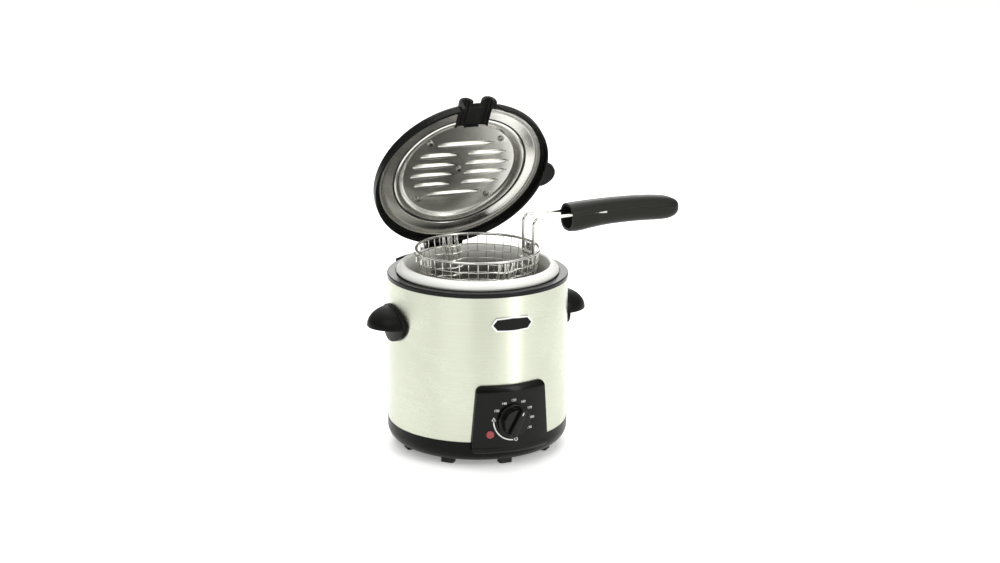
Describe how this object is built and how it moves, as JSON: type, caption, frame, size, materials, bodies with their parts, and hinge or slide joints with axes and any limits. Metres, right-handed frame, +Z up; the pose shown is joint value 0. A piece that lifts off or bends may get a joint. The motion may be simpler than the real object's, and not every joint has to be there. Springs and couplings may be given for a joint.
{
  "type": "deep fryer",
  "caption": "Round mini deep fryer with a brushed steel body, loose pot, lift-out wire basket on a long handle, hinged filter lid and thermostat knob.",
  "frame": {"origin": "the body's axis on the surface that the feet stand on", "axes": "+Z up, the control panel faces -Y, +X is on the right of someone facing the panel, the lid hinge is at +Y"},
  "size_m": [0.351, 0.2152, 0.3612],
  "materials": {
    "wrap_steel": "brushed round the body, satin",
    "body_plastic": "moulded, semi-gloss black",
    "handle_plastic": "moulded, fine grain, black",
    "lid_plastic": "moulded, satin black",
    "grip_plastic": "moulded, satin charcoal",
    "knob_plastic": "moulded, semi-gloss black",
    "foot_rubber": "matt",
    "seal_rubber": "matt silicone",
    "screw_steel": "plated",
    "print_white": "printed ink",
    "lamp_red": "tinted lens",
    "lamp_glass": "neon lamp",
    "badge_chrome": "bright",
    "badge_black": "gloss lacquer, blank",
    "cast_aluminium": "as cast",
    "element_steel": "oxidised sheath",
    "shield_steel": "tinned sheet",
    "ceramic_post": "unglazed",
    "post_plastic": "heat-proof moulding",
    "pin_brass": "plain",
    "pot_enamel": "light grey-white non-stick enamel",
    "basket_wire": "nickel-plated wire",
    "lid_steel": "bright pressed sheet",
    "filter_felt": "carbon felt"
  },
  "bodies": {
    "root": {"outer_wrap": "wrap_steel", "base_housing": "body_plastic", "bottom_cover": "body_plastic", "feet": "foot_rubber", "base_screws": "screw_steel", "top_ring": "body_plastic", "rear_housing": "body_plastic", "hinge_pin": "screw_steel", "carry_handle_left": "handle_plastic", "carry_handle_right": "handle_plastic", "handle_screws": "screw_steel", "control_panel": "body_plastic", "dial_marks": "print_white", "indicator_lens": "lamp_red", "indicator_lamp": "lamp_glass", "badge_frame": "badge_chrome", "badge_face": "badge_black", "heater_plate": "cast_aluminium", "heating_element": "element_steel", "heat_shield": "shield_steel", "heater_posts": "ceramic_post", "shield_posts": "post_plastic", "thermostat_body": "post_plastic", "thermostat_bracket": "shield_steel", "sensor_bulb": "element_steel", "thermal_fuse": "post_plastic", "terminal_block": "post_plastic", "inlet_socket": "body_plastic", "inlet_pins": "pin_brass"},
    "pot": {"pot": "pot_enamel"},
    "basket": {"basket_cup": "basket_wire", "basket_rim": "basket_wire", "rest_hook": "basket_wire", "handle_bracket": "basket_wire", "handle_wires": "basket_wire", "grip_upper": "grip_plastic", "grip_lower": "grip_plastic", "grip_screw": "screw_steel"},
    "lid": {"lid_shell": "lid_plastic", "hinge_knuckle": "lid_plastic", "lid_pan": "lid_steel", "handle_gate": "handle_plastic", "filter_cover": "lid_steel", "filter_pad": "filter_felt", "lid_seal": "seal_rubber", "cover_screws": "screw_steel", "lift_tab": "handle_plastic"},
    "knob": {"knob": "knob_plastic", "knob_pointer": "print_white", "thermostat_shaft": "screw_steel"}
  },
  "joints": [
    {"name": "lid_hinge", "type": "hinge", "parent": "root", "child": "lid", "pos_m": [0, 0.098, 0.19], "axis": [-1, 0, 0], "range_deg": [-59.25, 0]},
    {"name": "pot_turn", "type": "hinge", "parent": "root", "child": "pot", "pos_m": [0, 0, 0.18], "axis": [0, 0, 1], "range_deg": [-93.01, 0]},
    {"name": "basket_lift", "type": "slide", "parent": "pot", "child": "basket", "axis": [0, 0, 1], "range_m": [-0.0393, 0]},
    {"name": "knob_turn", "type": "hinge", "parent": "root", "child": "knob", "pos_m": [0, -0.098, 0.0515], "axis": [0, 1, 0], "range_deg": [-214, 94]}
  ],
  "couplings": [
    {"joint": "pot_turn", "follows": "lid_hinge", "ratio": 1.5696},
    {"joint": "basket_lift", "follows": "lid_hinge", "m_per_rad": 0.037907}
  ]
}
